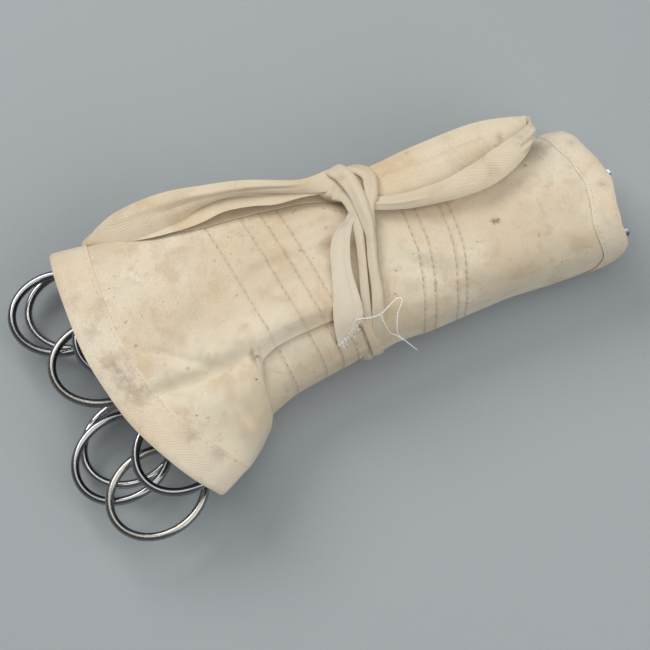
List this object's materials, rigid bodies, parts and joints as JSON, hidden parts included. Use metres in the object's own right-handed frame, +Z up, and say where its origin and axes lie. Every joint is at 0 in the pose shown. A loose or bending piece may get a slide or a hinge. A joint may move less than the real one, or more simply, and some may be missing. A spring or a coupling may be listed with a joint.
{
  "type": "dental elevator and forceps roll",
  "caption": "Tied cotton instrument roll with bound edges; finger rings of pivoting instruments stand out of its mouth and elevator blades show at the other end.",
  "frame": {"origin": "centre of the resting plane under the tie", "axes": "+X along the roll towards the blade tips, +Y across the roll, +Z up"},
  "size_m": [0.2151, 0.114, 0.0509],
  "materials": {
    "cotton_drill": "unbleached cotton twill drill, stained and creased",
    "twill_tape": "herringbone cotton tape, soft and washed",
    "sewing_thread": "matt cotton thread",
    "white_thread": "loose bleached cotton thread",
    "polished_steel": "polished plated steel, worn"
  },
  "bodies": {
    "roll": {"wrap_cloth": "cotton_drill", "mouth_binding": "twill_tape", "tip_binding": "twill_tape", "binding_stitching": "sewing_thread", "handle_band": "cotton_drill", "blade_band": "cotton_drill", "band_stitching": "sewing_thread", "tie_band": "twill_tape", "tie_knot": "twill_tape", "left_bow_loop": "twill_tape", "right_bow_loop": "twill_tape", "tie_tail": "twill_tape", "loose_thread": "white_thread"},
    "straight_forceps": {"straight_forceps_half_a": "polished_steel", "straight_forceps_screw": "polished_steel"},
    "straight_forceps_lever": {"straight_forceps_half_b": "polished_steel"},
    "curved_forceps": {"curved_forceps_half_a": "polished_steel", "curved_forceps_screw": "polished_steel"},
    "curved_forceps_lever": {"curved_forceps_half_b": "polished_steel"},
    "needle_holder": {"needle_holder_half_a": "polished_steel", "needle_holder_screw": "polished_steel"},
    "needle_holder_lever": {"needle_holder_half_b": "polished_steel"},
    "suture_scissors": {"suture_scissors_half_a": "polished_steel", "suture_scissors_screw": "polished_steel"},
    "suture_scissors_lever": {"suture_scissors_half_b": "polished_steel"},
    "straight_elevator": {"straight_elevator_handle": "polished_steel", "straight_elevator_blade": "polished_steel"},
    "angled_elevator": {"angled_elevator_handle": "polished_steel", "angled_elevator_blade": "polished_steel"}
  },
  "joints": [
    {"name": "straight_forceps_slide", "type": "slide", "parent": "roll", "child": "straight_forceps", "axis": [-0.9997, -0.0227, 0], "range_m": [0, 0.2]},
    {"name": "straight_forceps_pivot", "type": "hinge", "parent": "straight_forceps", "child": "straight_forceps_lever", "pos_m": [0.0364, 0.013, 0.0071], "axis": [0, 0, 1], "range_deg": [-6.6, 1]},
    {"name": "curved_forceps_slide", "type": "slide", "parent": "roll", "child": "curved_forceps", "axis": [-0.9992, -0.0401, 0], "range_m": [0, 0.2]},
    {"name": "curved_forceps_pivot", "type": "hinge", "parent": "curved_forceps", "child": "curved_forceps_lever", "pos_m": [0.0345, 0.012, 0.0133], "axis": [0, 0, 1], "range_deg": [-8.4, 2]},
    {"name": "needle_holder_slide", "type": "slide", "parent": "roll", "child": "needle_holder", "axis": [-0.999, -0.0436, 0], "range_m": [0, 0.2]},
    {"name": "needle_holder_pivot", "type": "hinge", "parent": "needle_holder", "child": "needle_holder_lever", "pos_m": [0.039, -0.0082, 0.0195], "axis": [0, 0, 1], "range_deg": [-5.8, 0.5]},
    {"name": "suture_scissors_slide", "type": "slide", "parent": "roll", "child": "suture_scissors", "axis": [-0.9947, -0.1028, 0], "range_m": [0, 0.2]},
    {"name": "suture_scissors_pivot", "type": "hinge", "parent": "suture_scissors", "child": "suture_scissors_lever", "pos_m": [0.042, 0.006, 0.0257], "axis": [0, 0, 1], "range_deg": [-3.6, 2]},
    {"name": "straight_elevator_slide", "type": "slide", "parent": "roll", "child": "straight_elevator", "axis": [-0.9985, 0.0541, 0], "range_m": [0, 0.19]},
    {"name": "angled_elevator_slide", "type": "slide", "parent": "roll", "child": "angled_elevator", "axis": [-0.9971, 0.0645, 0.0401], "range_m": [0, 0.19]}
  ]
}
